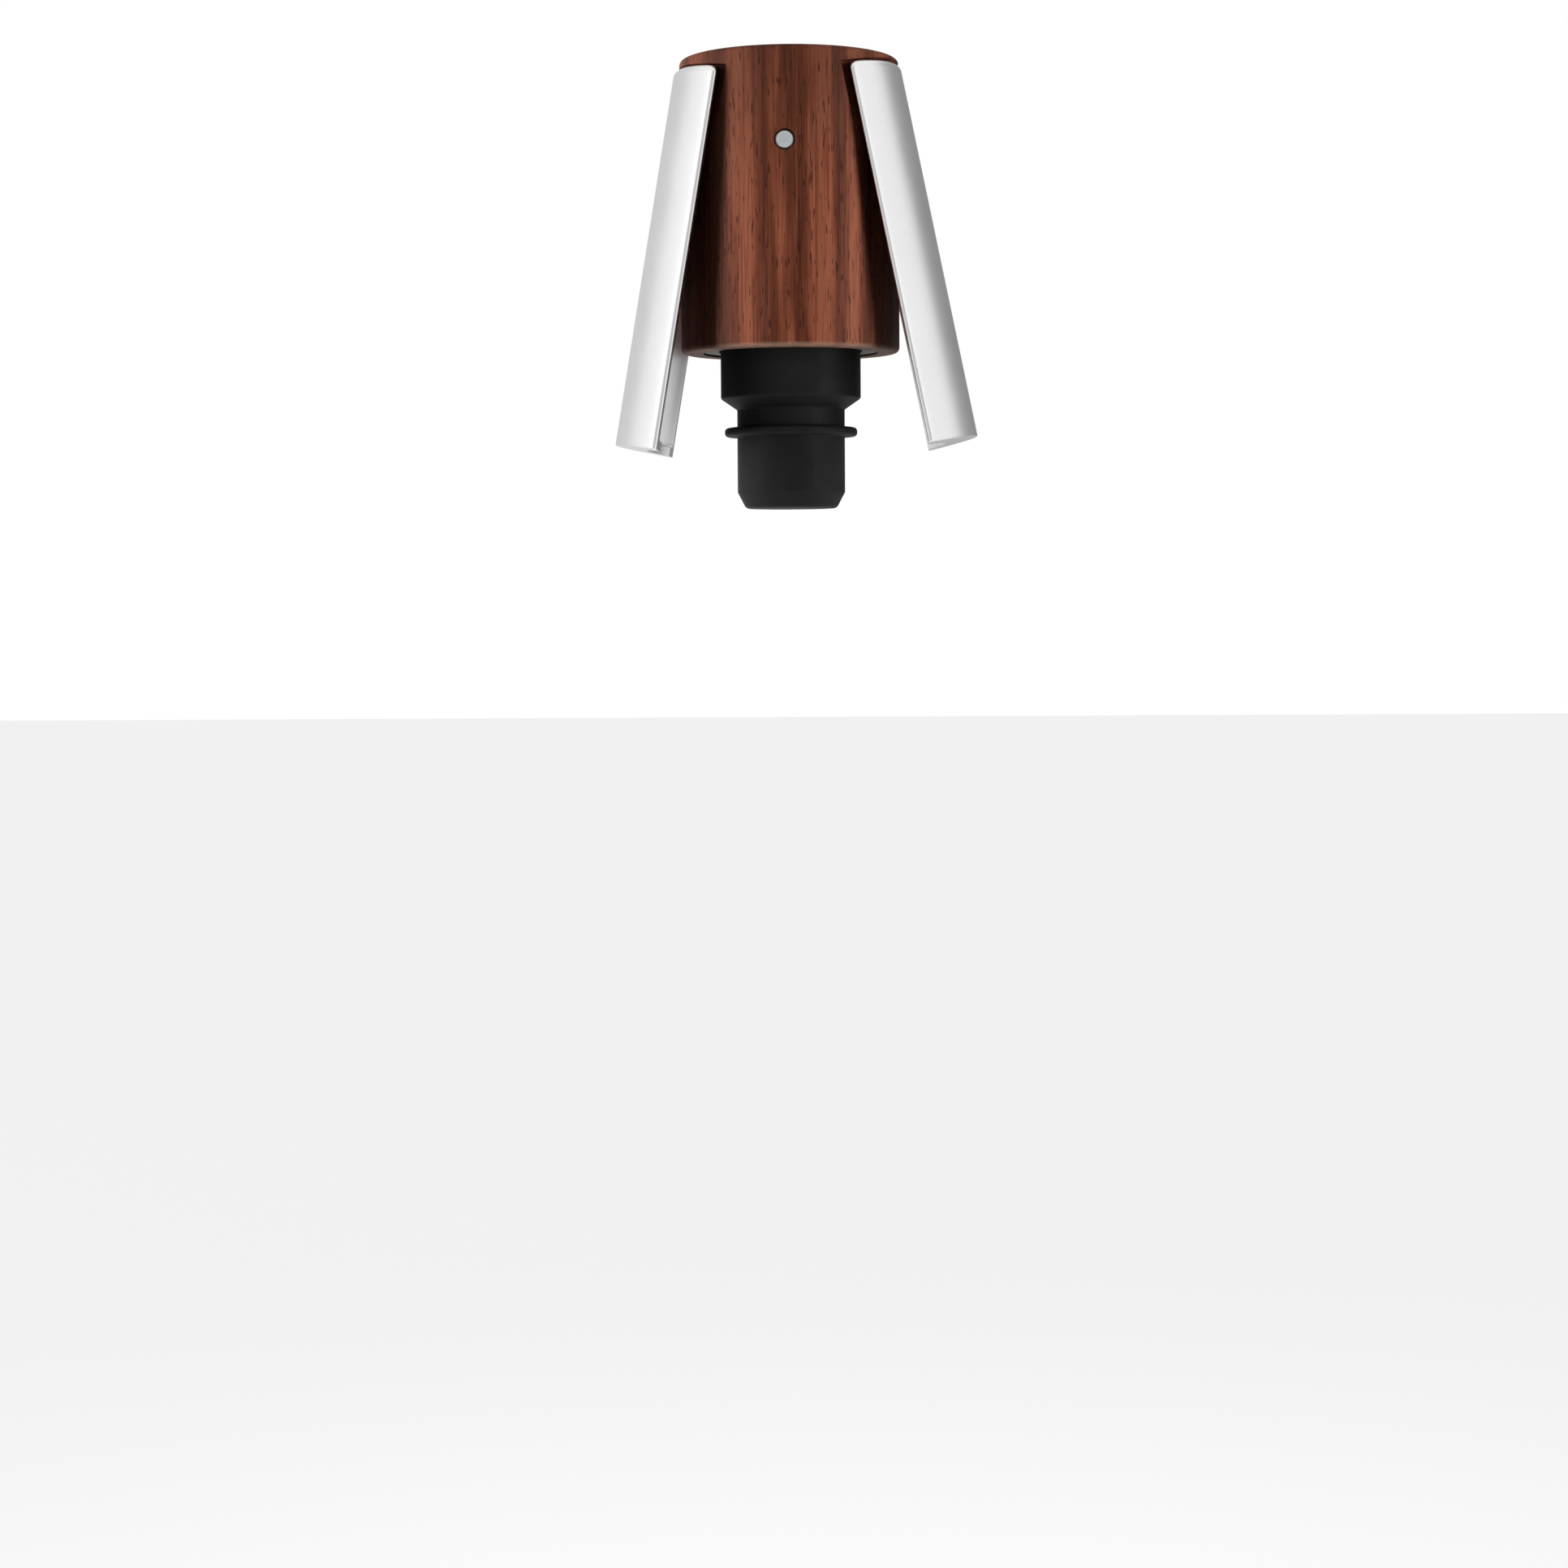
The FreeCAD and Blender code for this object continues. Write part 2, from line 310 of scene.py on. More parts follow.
def wire_coil(coil_r, wire_r, turns, low_z, high_z, steps_per_turn=72, sides=20):
    """A round wire on a helix.

    Its centre is c(t) = (R cos t, R sin t, z(t)), and its surface c + r (cos s n + sin s b),
    where n points out from the axis and b is the wire's direction crossed with n.
    """
    turn = np.linspace(0, 2 * math.pi * turns, steps_per_turn * turns + 1)
    out = np.stack([np.cos(turn), np.sin(turn), np.zeros_like(turn)], axis=-1)
    rise = (high_z - low_z) / (2 * math.pi * turns)
    centre = coil_r * out + np.stack([0 * turn, 0 * turn, low_z + rise * turn], axis=-1)
    ahead = np.stack([-coil_r * np.sin(turn), coil_r * np.cos(turn), rise + 0 * turn], axis=-1)
    ahead /= np.linalg.norm(ahead, axis=1, keepdims=True)
    across = np.cross(ahead, out)
    around = np.linspace(0, 2 * math.pi, sides, endpoint=False)[None, :, None]
    ring = np.cos(around) * out[:, None] + np.sin(around) * across[:, None]
    grid = (centre[:, None] + wire_r * ring).reshape(-1, 3)
    row = np.arange(len(turn) - 1)[:, None] * sides
    column = np.arange(sides)[None, :]
    next_column = (column + 1) % sides
    ahead_row = row + sides
    corners = [row + column, ahead_row + column, ahead_row + next_column, row + next_column]
    quads = np.stack(corners, axis=-1)
    caps = [list(range(sides)), [len(grid) - 1 - side for side in range(sides)]]
    return grid, quads.reshape(-1, 4).tolist() + caps


def drawn_steel():
    """Spring steel wire, drawn cold through a die.

    It is grey and half bright, and marks of the die make its reflections patchy.
    """
    material, tree = new_material("drawn_spring_steel")
    place = add(tree, "ShaderNodeTexCoord").outputs["Object"]
    marks = grain(tree, place, 0.385 * MM, 0.385 * MM, detail=3.0)
    rough = add(tree, "ShaderNodeMapRange", {"Value": marks, "To Min": 0.28, "To Max": 0.45})
    shader = add(
        tree,
        "ShaderNodeBsdfPrincipled",
        {
            "Base Color": two_tones(tree, marks, 0.3, 0.7, "#8c8c8c", "#a9a9a9"),
            "Metallic": 1.0,
            "Roughness": rough.outputs["Result"],
        },
    )
    add(tree, "ShaderNodeOutputMaterial", {"Surface": shader.outputs[0]})
    return material


spring_steel = drawn_steel()
return_spring_piece = new_piece(
    "return_spring_coil",
    *wire_coil(
        SPRING_COIL_R,
        SPRING_WIRE_R,
        SPRING_TURNS,
        spring_low.z + SPRING_WIRE_R,
        spring_high.z - SPRING_WIRE_R,
    ),
)
return_spring_piece.data.materials.append(spring_steel)
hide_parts("return_spring")
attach(return_spring_piece, "seal")
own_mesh(return_spring_piece)


# Guide sleeve and retaining ring. The sleeve is a thin deep-drawn steel cup, pressed into
# the bore of the head; a black moulded ring closes its mouth round the rubber.
def drawn_sheet():
    """Thin sheet steel, deep drawn into a cup.

    It is dull grey, and the punch leaves long faint lines along the wall of the cup.
    """
    material, tree = new_material("deep_drawn_sheet_steel")
    place = add(tree, "ShaderNodeTexCoord").outputs["Object"]
    lines = grain(tree, place, 0.667 * MM, 16.7 * MM, detail=3.0)
    rough = add(tree, "ShaderNodeMapRange", {"Value": lines, "To Min": 0.35, "To Max": 0.5})
    shader = add(
        tree,
        "ShaderNodeBsdfPrincipled",
        {
            "Base Color": two_tones(tree, lines, 0.3, 0.7, "#5c5854", "#74706b"),
            "Metallic": 1.0,
            "Roughness": rough.outputs["Result"],
        },
    )
    add(tree, "ShaderNodeOutputMaterial", {"Surface": shader.outputs[0]})
    return material


dress("guide_sleeve", drawn_sheet())
dress("retaining_ring", moulded_plastic("moulded_ring_plastic", "#141210", "#1d1a18"))

# Wooden head. One turned piece of dark red-brown hardwood, oiled and rubbed to a satin.
# It is bored from below, slotted right across for the lugs of the wings, and cut back at
# both sides into wedge-shaped pockets where the tops of the opened wings go in.
wood_low, wood_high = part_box("wood_body")
sleeve_top_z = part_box("guide_sleeve")[1].z
hinges = {joint["name"]: joint for joint in frame["joints"] if joint["type"] == "hinge"}
PIN_Z = hinges["right_wing_hinge"]["pos_m"][2]
RIGHT_OPEN = math.radians(hinges["right_wing_hinge"]["range_deg"][1])
LEFT_OPEN = math.radians(hinges["left_wing_hinge"]["range_deg"][1])
WOOD_R = wood_high.x
WOOD_TOP_EDGE_R = 0.7 * MM
WOOD_BOTTOM_EDGE_R = 0.8 * MM
RECESS_R = 14.0 * MM
PIN_R = 1.5 * MM
PIN_HOLE_R = 1.56 * MM
WING_INNER_R = WOOD_R + 0.4 * MM
WING_OUTER_R = WING_INNER_R + 2.3 * MM
WING_EDGE_X = 12.2 * MM
WING_TOP_Z = PIN_Z + 10.0 * MM
WING_BOTTOM_Z = PIN_Z - 50.3 * MM
POCKET_CLEARANCE = 0.3 * MM
POCKET_SIDE_CLEARANCE = 1.2 * MM
SLOT_HALF_WIDTH = 6.6 * MM
SLOT_LOW_Z = PIN_Z - 4.0 * MM
SLOT_HIGH_Z = PIN_Z + 4.0 * MM + WOOD_R * math.sin(RIGHT_OPEN)
PIN_SHADOW_GAP = 0.14 * MM
HEAD_STEPS = 256
BORE_STEPS = 128
# Depth over which painted shade darkens the head towards its top.
PAINTED_TOP_SHADE_DEPTH = 30.0 * MM
# Heights where the painted highlight on the lower rim starts and is full.
PAINTED_RIM_HIGHLIGHT_H = 0.7 * MM
PAINTED_RIM_HIGHLIGHT_FULL_H = 0.1 * MM
HEART_X = -21.0 * MM
HEART_Y = -62.0 * MM
BAND_SPACING = 5.42 * MM


def combine(piece, tools, operation):
    """Cut the tools from a piece, or join them to it, and drop them."""
    for tool in tools:
        change = piece.modifiers.new("combine", "BOOLEAN")
        change.operation = operation
        change.solver = "EXACT"
        change.object = tool
        settled_piece = piece.evaluated_get(bpy.context.evaluated_depsgraph_get())
        settled = bpy.data.meshes.new_from_object(settled_piece)
        piece.modifiers.clear()
        piece.data = settled
        bpy.data.objects.remove(tool)


def prism(outline, low, high):
    """Vertices and faces of a closed (x, y) outline, drawn counter-clockwise, between two heights."""
    count = len(outline)
    layers = [np.column_stack([outline, np.full(count, height)]) for height in (low, high)]
    around = np.arange(count)
    ahead = (around + 1) % count
    sides = np.stack([around, ahead, ahead + count, around + count], axis=-1).tolist()
    return np.concatenate(layers), sides + [around[::-1].tolist(), (around + count).tolist()]


def about_pin(points, angle):
    """Points turned about the pin's axis: x cos a + h sin a, and h cos a - x sin a above it."""
    x, y, z = points[:, 0], points[:, 1], points[:, 2] - PIN_Z
    return np.stack(
        [x * math.cos(angle) + z * math.sin(angle), y, z * math.cos(angle) - x * math.sin(angle) + PIN_Z],
        axis=-1,
    )


def half_round(points):
    """Points turned half round about the axis of the stopper."""
    return points * np.array([-1, -1, 1])


def arc(radius, first, last, steps):
    """Points of a circular arc about the origin."""
    angle = np.linspace(first, last, steps)
    return radius * np.stack([np.cos(angle), np.sin(angle)], axis=-1)


def cylinder_y(radius, low_y, high_y, steps=96):
    """A prism on a circle, laid along Y through the pin's axis."""
    vertices, faces = prism(arc(radius, 0, 2 * math.pi * (1 - 1 / steps), steps), low_y, high_y)
    laid = np.stack([vertices[:, 0], vertices[:, 2], PIN_Z - vertices[:, 1]], axis=-1)
    return laid, faces


def pocket():
    """The space beside the head that a wing fills: outside its inner face, below its top."""
    inner_r = WING_INNER_R - POCKET_CLEARANCE
    side_x = WING_EDGE_X - POCKET_SIDE_CLEARANCE
    reach = 2 * WING_OUTER_R
    corner = math.acos(side_x / inner_r)
    floor = arc(inner_r, corner, -corner, 97)
    outer = np.array([[side_x, -reach], [reach, -reach], [reach, reach], [side_x, reach]])
    return prism(np.concatenate([floor, outer]), WING_BOTTOM_Z, WING_TOP_Z + POCKET_CLEARANCE)


def turned_hardwood():
    """Dark red-brown hardwood, turned, sanded and soaked in oil.

    Growth bands lie round the heart of the tree, outside the head, so they show as broad
    upright stripes. On them are streaks, fibres, a few greyer patches and short dark pores.
    The oil leaves a soft satin. The top is painted darker as painted shade, and the
    lower rim is painted paler as a painted highlight of light from below. The pores are
    drawn wider than real ones, so that they show.
    """
    material, tree = new_material("oiled_dark_hardwood")
    place = add(tree, "ShaderNodeTexCoord").outputs["Object"]
    heart = add(
        tree,
        "ShaderNodeMapping",
        {"Vector": place, "Location": (-HEART_X, -HEART_Y, 0.0), "Scale": (1.0, 1.0, 0.07)},
    )
    bands = add(
        tree,
        "ShaderNodeTexWave",
        {
            "Vector": heart.outputs["Vector"],
            "Scale": math.pi / (10 * BAND_SPACING),
            "Distortion": 5.0,
            "Detail": 3.0,
            "Detail Scale": 1.6,
            "Detail Roughness": 0.6,
            "Phase Offset": 4.9,
        },
        wave_type="RINGS",
        rings_direction="Z",
    )
    streaks = grain(tree, place, 1.0 * MM, 50.0 * MM, detail=5.0, roughness=0.62)
    fibres = grain(tree, place, 0.278 * MM, 9.0 * MM)
    patches = grain(tree, place, 6.7 * MM, 110.0 * MM, shift=(4.3, 0.4, 1.2))
    pore_cells = grain(tree, place, 0.286 * MM, 2.5 * MM, detail=1.0, roughness=0.4)
    figure = add(
        tree,
        "ShaderNodeMix",
        {"Factor": 0.67, "A": bands.outputs["Fac"], "B": streaks},
        data_type="FLOAT",
    )
    fine_figure = add(
        tree,
        "ShaderNodeMix",
        {"Factor": 0.3, "A": figure.outputs["Result"], "B": fibres},
        data_type="FLOAT",
    )
    tones = [(0.3, "#3f1f15"), (0.41, "#663726"), (0.49, "#814733"), (0.58, "#9c5d45"), (0.7, "#743524")]
    ground = add(tree, "ShaderNodeValToRGB", {"Fac": fine_figure.outputs["Result"]})
    stops = ground.color_ramp.elements
    while len(stops) < len(tones):
        stops.new(0.5)
    for stop, (position, code) in zip(stops, tones):
        stop.position = position
        stop.color = to_linear(code)
    pores = add(
        tree,
        "ShaderNodeMapRange",
        {"Value": pore_cells, "From Min": 0.64, "From Max": 0.69, "To Max": 0.75},
    )
    height = add(tree, "ShaderNodeSeparateXYZ", {"Vector": place}).outputs["Z"]
    top_z = wood_high.z
    rim_highlight_z = wood_low.z + PAINTED_RIM_HIGHLIGHT_H
    colour = ground.outputs["Color"]
    for code, pattern, start, full, strength, rise in (
        ("#5f3a30", patches, 0.46, 0.64, 0.6, "LINEAR"),
        ("#2c1610", pores.outputs["Result"], 0.0, 1.0, 1.0, "LINEAR"),
        # painted shade: the head's colour darkens towards its top
        ("#3a2016", height, top_z - PAINTED_TOP_SHADE_DEPTH, top_z, 0.42, "SMOOTHSTEP"),
        # painted highlight: the lower rim is painted paler, as light reflected from below
        ("#c0a792", height, rim_highlight_z, wood_low.z + PAINTED_RIM_HIGHLIGHT_FULL_H, 0.4, "LINEAR"),
    ):
        share = add(
            tree,
            "ShaderNodeMapRange",
            {"Value": pattern, "From Min": start, "From Max": full, "To Max": strength},
            interpolation_type=rise,
        )
        tint = {"Factor": share.outputs["Result"], "A": colour, "B": to_linear(code)}
        colour = add(tree, "ShaderNodeMix", tint, data_type="RGBA").outputs["Result"]
    depth = add(tree, "ShaderNodeMath", {0: fibres, 1: pores.outputs["Result"]}, operation="SUBTRACT")
    bump = add(
        tree,
        "ShaderNodeBump",
        {"Height": depth.outputs["Value"], "Strength": 0.25, "Distance": 0.06 * MM},
    )
    rough = add(tree, "ShaderNodeMapRange", {"Value": streaks, "To Min": 0.48, "To Max": 0.62})
    shader = add(
        tree,
        "ShaderNodeBsdfPrincipled",
        {
            "Base Color": colour,
            "Roughness": rough.outputs["Result"],
            "Normal": bump.outputs["Normal"],
            "IOR": 1.47,
            "Specular IOR Level": 0.14,
        },
    )
    add(tree, "ShaderNodeOutputMaterial", {"Surface": shader.outputs[0]})
    return material


head_outline = rounded_outline(
    [(0, wood_low.z), (WOOD_R, wood_low.z), (WOOD_R, wood_high.z), (0, wood_high.z)],
    [WOOD_BOTTOM_EDGE_R, WOOD_TOP_EDGE_R],
)
wooden_head = new_piece("turned_wooden_head", *turned(head_outline, HEAD_STEPS))
right_pocket, pocket_faces = pocket()
bore_outline = np.array(
    [(0, wood_low.z - MM), (RECESS_R, wood_low.z - MM), (RECESS_R, sleeve_top_z), (0, sleeve_top_z)]
)
slot_outline = np.array(
    [
        (-2 * WOOD_R, -SLOT_HALF_WIDTH),
        (2 * WOOD_R, -SLOT_HALF_WIDTH),
        (2 * WOOD_R, SLOT_HALF_WIDTH),
        (-2 * WOOD_R, SLOT_HALF_WIDTH),
    ]
)
head_cuts = [
    new_piece("bore", *turned(bore_outline, BORE_STEPS)),
    new_piece("slot", *prism(slot_outline, SLOT_LOW_Z, SLOT_HIGH_Z)),
    new_piece("pin_hole", *cylinder_y(PIN_R + PIN_SHADOW_GAP, -2 * WOOD_R, 2 * WOOD_R)),
    new_piece("right_pocket", about_pin(right_pocket, -RIGHT_OPEN), pocket_faces),
    new_piece("left_pocket", about_pin(half_round(right_pocket), LEFT_OPEN), pocket_faces),
]
combine(wooden_head, head_cuts, "DIFFERENCE")
smooth(wooden_head, 30)
wooden_head.data.materials.clear()
wooden_head.data.materials.append(turned_hardwood())
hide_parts("wood_body")
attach(wooden_head, "head")


# Wings. One zinc casting with a satin nickel finish, fitted twice, turned half round. A
# curved wall with softened edges, a plate at the foot with a round notch that grips under
# a collar, and two lugs inside with eyes for the pin.
WING_EDGE_R = 0.45 * MM
WING_INNER_EDGE_R = 0.12 * MM
WING_CORNER_R = 1.3 * MM
WING_FOOT_EDGE_R = 0.2 * MM
WING_RIM_R = 1.3 * MM
HOOK_T = 1.5 * MM
HOOK_INNER_R = 15.0 * MM
HOOK_FILLET_R = 0.8 * MM
LUG_T = 2.0 * MM
LUG_GAP = 0.3 * MM
LUG_INNER_Y = 1.8 * MM
LUG_EYE_R = 3.5 * MM


def quarter(steps=ROUND_STEPS):
    """Sine and cosine over a quarter turn."""
    angle = np.linspace(0, math.pi / 2, steps + 1)
    return np.sin(angle), np.cos(angle)


def wing_rows():
    """Height, edge plane, inner and outer radius of the wing's section, row by row, foot to top."""
    sine, cosine = quarter()
    rows = [
        np.column_stack(
            [
                WING_BOTTOM_Z + WING_FOOT_EDGE_R * (1 - cosine),
                np.full(len(sine), WING_EDGE_X),
                np.full(len(sine), HOOK_INNER_R),
                WING_OUTER_R - WING_FOOT_EDGE_R * (1 - sine),
            ]
        )
    ]
    plate_top = WING_BOTTOM_Z + HOOK_T
    nose = WING_FOOT_EDGE_R
    rows.append(
        np.column_stack(
            [
                plate_top - nose * (1 - sine),
                np.full(len(sine), WING_EDGE_X),
                HOOK_INNER_R + nose * (1 - cosine),
                np.full(len(sine), WING_OUTER_R),
            ]
        )
    )
    rows.append(
        np.column_stack(
            [
                plate_top + HOOK_FILLET_R * (1 - cosine),
                np.full(len(sine), WING_EDGE_X),
                WING_INNER_R - HOOK_FILLET_R * (1 - sine),
                np.full(len(sine), WING_OUTER_R),
            ]
        )
    )
    corner_sine, corner_cosine = quarter(14)
    corner_z = WING_TOP_Z - WING_CORNER_R * (1 - corner_sine)
    into_rim = np.clip(corner_z - (WING_TOP_Z - WING_RIM_R), 0, WING_RIM_R)
    rim_inset = WING_RIM_R - np.sqrt(WING_RIM_R**2 - into_rim**2)
    rows.append(
        np.column_stack(
            [
                corner_z,
                WING_EDGE_X + WING_CORNER_R * (1 - corner_cosine),
                np.full(len(corner_z), WING_INNER_R),
                WING_OUTER_R - rim_inset,
            ]
        )
    )
    return np.concatenate(rows)


def wing_wall(arc_steps=40, corner_steps=6):
    """The wing's wall and foot plate as closed sections, lofted from foot to top.

    A section has an outer arc, a rounded corner, the flat edge at x = edge, a small inner
    corner and the inner arc. A corner of radius p lies on the circle about the axis with
    radius outer - p or inner + p, at x = edge + p.
    """
    z, edge, inner, outer = wing_rows().T[:, :, None]
    share = np.linspace(-1, 1, arc_steps + 1)[None, :]
    turn = np.linspace(0, 1, corner_steps + 1)[None, :]
    outer_corner_x = edge + WING_EDGE_R
    outer_corner_y = np.sqrt((outer - WING_EDGE_R) ** 2 - outer_corner_x**2)
    inner_corner_x = edge + WING_INNER_EDGE_R
    inner_corner_y = np.sqrt((inner + WING_INNER_EDGE_R) ** 2 - inner_corner_x**2)
    outer_half = np.arctan2(outer_corner_y, outer_corner_x)
    inner_half = np.arctan2(inner_corner_y, inner_corner_x)

    def corner(x, y, radius, first, last):
        angle = first + (last - first) * turn
        return x + radius * np.cos(angle), y + radius * np.sin(angle)

    outer_arc = (outer * np.cos(share * outer_half), outer * np.sin(share * outer_half))
    inner_arc = (inner * np.cos(share * inner_half), -inner * np.sin(share * inner_half))
    upper = corner(outer_corner_x, outer_corner_y, WING_EDGE_R, outer_half, math.pi)
    lower = corner(inner_corner_x, inner_corner_y, WING_INNER_EDGE_R, math.pi, math.pi + inner_half)
    parts = [
        (upper[0][:, ::-1], -upper[1][:, ::-1]),
        outer_arc,
        upper,
        lower,
        inner_arc,
        (lower[0][:, ::-1], -lower[1][:, ::-1]),
    ]
    kept = [slice(0, -1), slice(None), slice(1, None), slice(0, -1), slice(None), slice(1, None)]
    x = np.concatenate([part[0][:, keep] for part, keep in zip(parts, kept)], axis=1)
    y = np.concatenate([part[1][:, keep] for part, keep in zip(parts, kept)], axis=1)
    rows, loop = x.shape
    grid = np.stack([x, y, np.broadcast_to(z, x.shape)], axis=-1).reshape(-1, 3)
    row = np.arange(rows - 1)[:, None] * loop
    column = np.arange(loop)[None, :]
    ahead = (column + 1) % loop
    quads = np.stack([row + column, row + ahead, row + loop + ahead, row + loop + column], axis=-1)
    half = loop // 2
    outside = np.arange(half - 1)
    across = loop - 1 - outside
    foot = np.stack([outside, across, across - 1, outside + 1], axis=-1)
    top = np.stack([outside, outside + 1, across - 1, across], axis=-1) + (rows - 1) * loop
    faces = np.concatenate([quads.reshape(-1, 4), foot, top]).tolist()
    return grid, faces


def lug(low_y):
    """A plate with a round end at the pin, reaching into the wing's wall."""
    reach = WING_INNER_R + 0.5 * (WING_OUTER_R - WING_INNER_R)
    eye = arc(LUG_EYE_R, math.pi / 2, 3 * math.pi / 2, 49)
    outline = np.concatenate([eye, [[reach, -LUG_EYE_R], [reach, LUG_EYE_R]]])
    vertices, faces = prism(outline, -low_y - LUG_T, -low_y)
    return np.stack([vertices[:, 0], -vertices[:, 2], vertices[:, 1] + PIN_Z], axis=-1), faces


def satin_metal():
    """Satin nickel, plated on a die-cast and finely brushed blank.

    It is nearly white and blurs what it reflects into broad soft bands. The brushing runs
    along the wing; it is drawn coarser than real, and gives the bands a faint grain.
    """
    material, tree = new_material("satin_nickel_plate")
    place = add(tree, "ShaderNodeTexCoord").outputs["Object"]
    brushing = grain(tree, place, 0.192 * MM, 7.15 * MM)
    cloud = grain(tree, place, 11.1 * MM, 11.1 * MM, detail=3.0)
    blend = add(tree, "ShaderNodeMix", {"Factor": 0.5, "A": brushing, "B": cloud}, data_type="FLOAT")
    rough = add(
        tree,
        "ShaderNodeMapRange",
        {"Value": blend.outputs["Result"], "To Min": 0.28, "To Max": 0.42},
    )
    bump = add(tree, "ShaderNodeBump", {"Height": brushing, "Strength": 0.06, "Distance": 0.03 * MM})
    shader = add(
        tree,
        "ShaderNodeBsdfPrincipled",
        {
            "Base Color": two_tones(tree, cloud, 0.3, 0.7, "#f0f0f0", "#f5f5f5"),
            "Metallic": 1.0,
            "Roughness": rough.outputs["Result"],
            "Normal": bump.outputs["Normal"],
        },
    )
    add(tree, "ShaderNodeOutputMaterial", {"Surface": shader.outputs[0]})
    return material


wing_blank = new_piece("wing_blank", *wing_wall())
wing_lugs = [
    new_piece("inner_lug", *lug(-LUG_INNER_Y - LUG_T)),
    new_piece("outer_lug", *lug(LUG_INNER_Y + LUG_T + LUG_GAP)),
]
combine(wing_blank, wing_lugs, "UNION")
combine(wing_blank, [new_piece("eye_hole", *cylinder_y(PIN_HOLE_R, -WOOD_R, WOOD_R))], "DIFFERENCE")
closed_wing = wing_blank.data
bpy.data.objects.remove(wing_blank)
satin_nickel = satin_metal()
to_pin = Matrix.Translation((0, 0, PIN_Z))
for side, fitted in (
    ("right_wing", Matrix.Rotation(-RIGHT_OPEN, 4, "Y")),
    ("left_wing", Matrix.Rotation(LEFT_OPEN, 4, "Y") @ Matrix.Rotation(math.pi, 4, "Z")),
):
    wing = bpy.data.objects.new(side + "_casting", closed_wing.copy())
    bpy.context.scene.collection.objects.link(wing)
    wing.data.transform(to_pin @ fitted @ to_pin.inverted())
    smooth(wing)
    wing.data.materials.clear()
    wing.data.materials.append(satin_nickel)
    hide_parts(side)
    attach(wing, side)


# Pivot pin and torsion spring. A turned steel pin goes right through the head and the eyes
# of all four lugs; a small coil of steel wire round its middle holds the wings open.
PIN_CHAMFER = 0.28 * MM
PIN_DISH = 0.12 * MM
PIN_STEPS = 96
PIN_RIM_R = PIN_R - 1.6 * PIN_CHAMFER
PIN_FACE_EDGE_R = 0.05 * MM
PIN_LAND_EDGE_R = 0.1 * MM
PIN_CHAMFER_EDGE_R = 0.15 * MM
pin_low, pin_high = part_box("pivot_pin")


def turned_steel():
    """Stainless steel rod, cut off and faced on a lathe.

    The facing tool leaves fine marks, so the end is pale grey and nearly matt.
    """
    material, tree = new_material("faced_stainless_steel")
    place = add(tree, "ShaderNodeTexCoord").outputs["Object"]
    marks = grain(tree, place, 0.556 * MM, 0.556 * MM, detail=3.0)
    rough = add(tree, "ShaderNodeMapRange", {"Value": marks, "To Min": 0.5, "To Max": 0.6})
    shader = add(
        tree,
        "ShaderNodeBsdfPrincipled",
        {
            "Base Color": two_tones(tree, marks, 0.3, 0.7, "#d2d8d8", "#dfe3e3"),
            "Metallic": 1.0,
            "Roughness": rough.outputs["Result"],
        },
    )
    add(tree, "ShaderNodeOutputMaterial", {"Surface": shader.outputs[0]})
    return material


pin_outline = rounded_outline(
    [
        (0, pin_low.y + PIN_DISH),
        (PIN_RIM_R, pin_low.y + PIN_DISH / 2),
        (PIN_R - PIN_CHAMFER, pin_low.y),
        (PIN_R, pin_low.y + PIN_CHAMFER),
        (PIN_R, pin_high.y - PIN_CHAMFER),
        (PIN_R - PIN_CHAMFER, pin_high.y),
        (PIN_RIM_R, pin_high.y - PIN_DISH / 2),
        (0, pin_high.y - PIN_DISH),
    ],
    [
        PIN_FACE_EDGE_R,
        PIN_LAND_EDGE_R,
        PIN_CHAMFER_EDGE_R,
        PIN_CHAMFER_EDGE_R,
        PIN_LAND_EDGE_R,
        PIN_FACE_EDGE_R,
    ],
)
pin_vertices, pin_faces = turned(pin_outline, PIN_STEPS)
pin_laid = np.stack([pin_vertices[:, 0], pin_vertices[:, 2], PIN_Z - pin_vertices[:, 1]], axis=-1)
pivot_pin_piece = new_piece("polished_pivot_pin", pin_laid, pin_faces, 60)
pivot_pin_piece.data.materials.append(turned_steel())
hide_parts("pivot_pin")
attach(pivot_pin_piece, "head")
dress("torsion_spring", spring_steel)


# Floor. A plain pale board far below the stopper, which hangs free above it. The board is
# matt white and runs past the picture on all sides.
FLOOR_Z = -0.3
FLOOR_HALF = 6.0
FLOOR_LEVEL = 0.86


def seen_share(tree):
    """1 for the camera's own rays and for reflections it sees, 0 for light that falls on matt faces."""
    path = add(tree, "ShaderNodeLightPath").outputs
    straight = add(
        tree,
        "ShaderNodeMath",
        {0: path["Is Camera Ray"], 1: path["Is Glossy Ray"]},
        operation="MAXIMUM",
    )
    seen = add(
        tree,
        "ShaderNodeMath",
        {0: straight.outputs["Value"], 1: path["Is Transmission Ray"]},
        operation="MAXIMUM",
    )
    before_matt = add(tree, "ShaderNodeMath", {0: path["Diffuse Depth"], 1: 0.5}, operation="LESS_THAN")
    share = add(
        tree,
        "ShaderNodeMath",
        {0: seen.outputs["Value"], 1: before_matt.outputs["Value"]},
        operation="MULTIPLY",
    )
    return share.outputs["Value"]


def pale_floor():
    """Matt pale board that the camera sees as nearly white, while it still takes a shadow."""
    material, tree = new_material("pale_floor_board")
    lift = add(tree, "ShaderNodeMath", {0: seen_share(tree), 1: FLOOR_LEVEL}, operation="MULTIPLY")
    matt = add(tree, "ShaderNodeBsdfDiffuse", {"Color": to_linear("#f2f2f2")})
    glow = add(tree, "ShaderNodeEmission", {"Strength": lift.outputs["Value"]})
    both = add(tree, "ShaderNodeAddShader", {0: matt.outputs[0], 1: glow.outputs[0]})
    add(tree, "ShaderNodeOutputMaterial", {"Surface": both.outputs[0]})
    return material


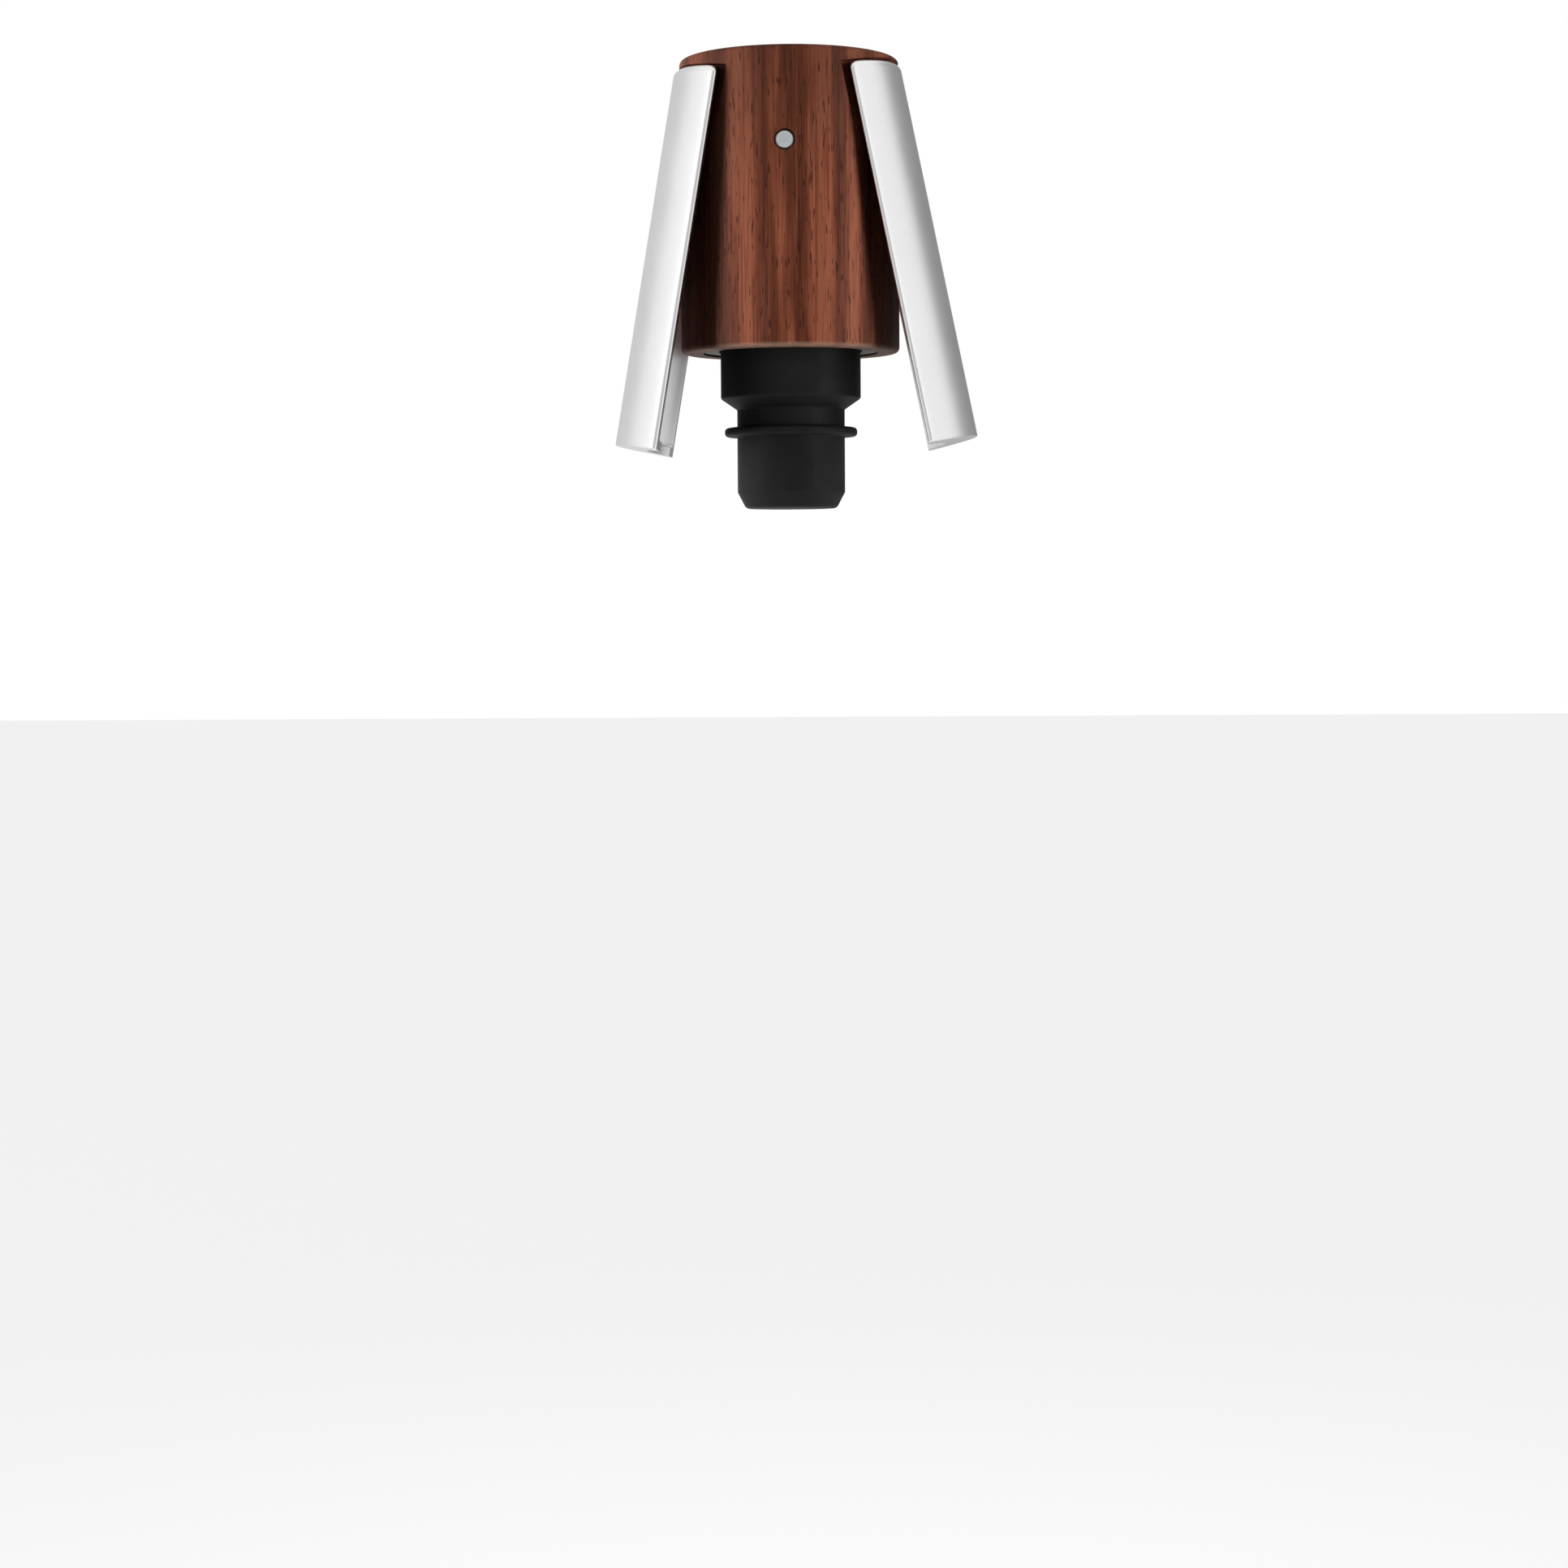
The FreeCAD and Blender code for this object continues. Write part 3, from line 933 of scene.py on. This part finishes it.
floor_corners = np.array(
    [
        (-FLOOR_HALF, -FLOOR_HALF, FLOOR_Z),
        (FLOOR_HALF, -FLOOR_HALF, FLOOR_Z),
        (FLOOR_HALF, FLOOR_HALF, FLOOR_Z),
        (-FLOOR_HALF, FLOOR_HALF, FLOOR_Z),
    ]
)
floor = new_piece("pale_floor", floor_corners, [[0, 1, 2, 3]])
floor.data.materials.append(pale_floor())

# Light. Soft boxes at both sides light matt faces from round the wings, which shade the
# flanks of the head, and a weak one behind lights the back. Metal sees a white room and
# curved cards instead, which give the wings their broad grey and white bands.
SOFT_BOX_SIZE = 0.42
SOFT_BOX_HEIGHT = 0.7
SOFT_BOX_DISTANCE = 1.0
SOFT_BOX_SPREAD = 45
SOFT_BOX_AIM_Z = 0.02
AMBIENT = 0.02


def soft_box(name, azimuth_degrees, height, power):
    """An area lamp at an angle from the front, aimed at the middle of the stopper."""
    lamp = bpy.data.lights.new(name, "AREA")
    lamp.shape = "RECTANGLE"
    lamp.size = SOFT_BOX_SIZE
    lamp.size_y = SOFT_BOX_HEIGHT
    lamp.energy = power
    lamp.spread = math.radians(SOFT_BOX_SPREAD)
    holder = bpy.data.objects.new(name, lamp)
    bpy.context.scene.collection.objects.link(holder)
    azimuth = math.radians(azimuth_degrees)
    target = Vector((0, 0, SOFT_BOX_AIM_Z))
    across = SOFT_BOX_DISTANCE * math.sin(azimuth)
    holder.location = (across, -SOFT_BOX_DISTANCE * math.cos(azimuth), height)
    holder.rotation_euler = (target - holder.location).to_track_quat("-Z", "Y").to_euler()
    holder.visible_glossy = False


soft_box("left_soft_box", -81, -0.12, 1.8)
soft_box("right_soft_box", 55, -0.12, 1.25)
soft_box("high_back_soft_box", 172, 0.9, 0.5)


def card(name, first_degrees, last_degrees, distance, low, high, level):
    """A curved card round the stopper that only reflections see, at angles from the front."""
    material, tree = new_material(name)
    strength = add(tree, "ShaderNodeMath", {0: seen_share(tree), 1: level}, operation="MULTIPLY")
    glow = add(tree, "ShaderNodeEmission", {"Color": (1, 1, 1, 1), "Strength": strength.outputs["Value"]})
    add(tree, "ShaderNodeOutputMaterial", {"Surface": glow.outputs[0]})
    turn = np.radians(np.linspace(first_degrees, last_degrees, 25))
    edge = distance * np.stack([np.sin(turn), -np.cos(turn)], axis=-1)
    rows = [np.column_stack([edge, np.full(len(turn), height)]) for height in (low, high)]
    step = np.arange(len(turn) - 1)
    quads = np.stack([step, step + 1, step + 1 + len(turn), step + len(turn)], axis=-1)
    sheet = new_piece(name, np.concatenate(rows), quads.tolist())
    sheet.data.materials.append(material)
    sheet.visible_camera = False
    sheet.visible_diffuse = False
    sheet.visible_shadow = False
    sheet.visible_transmission = False


card("grey_room_in_front", -62, 62, 0.8, -0.9, 0.9, 0.6)
card("left_sheen_card", -85, -68, 0.75, -0.6, 0.5, 1.5)
card("right_sheen_card", 44, 62, 0.75, -0.6, 0.5, 1.5)
card("dark_card_back_right", 117, 184, 0.7, -0.6, 0.6, 0.25)
card("grey_card_back_left", -176, -116, 0.7, -0.6, 0.6, 0.66)

world = bpy.data.worlds.new("white_studio")
bpy.context.scene.world = world
world.use_nodes = True
sky = world.node_tree
sky.nodes.clear()
sky_level = add(sky, "ShaderNodeMapRange", {"Value": seen_share(sky), "To Min": AMBIENT, "To Max": 1.0})
sky_white = add(
    sky,
    "ShaderNodeBackground",
    {"Color": (1, 1, 1, 1), "Strength": sky_level.outputs["Result"]},
)
add(sky, "ShaderNodeOutputWorld", {"Surface": sky_white.outputs[0]})

# Camera. It stands in front of the stopper, a little to the right of its axis and below
# it, and looks slightly down, so that the stopper fills the upper part of the picture.
CAMERA_DISTANCE = 0.505
CAMERA_Z = -0.0237
CAMERA_AZIMUTH = math.radians(2.6)
CAMERA_ROLL = math.radians(-0.38)
CAMERA_LENS = 71.64
CAMERA_AIM = Vector((-0.00152, 0, -0.056))
eye = bpy.data.cameras.new("studio_camera")
eye.lens = CAMERA_LENS
eye.sensor_width = 36
eye.clip_start = 0.01
camera = bpy.data.objects.new("studio_camera", eye)
bpy.context.scene.collection.objects.link(camera)
camera.location = (
    CAMERA_AIM.x + CAMERA_DISTANCE * math.sin(CAMERA_AZIMUTH),
    -CAMERA_DISTANCE * math.cos(CAMERA_AZIMUTH),
    CAMERA_Z,
)
looking = (CAMERA_AIM - camera.location).to_track_quat("-Z", "Y").to_matrix()
camera.rotation_euler = (looking @ Matrix.Rotation(CAMERA_ROLL, 3, "Z")).to_euler()
bpy.context.scene.camera = camera
bpy.context.scene.view_settings.view_transform = "Standard"
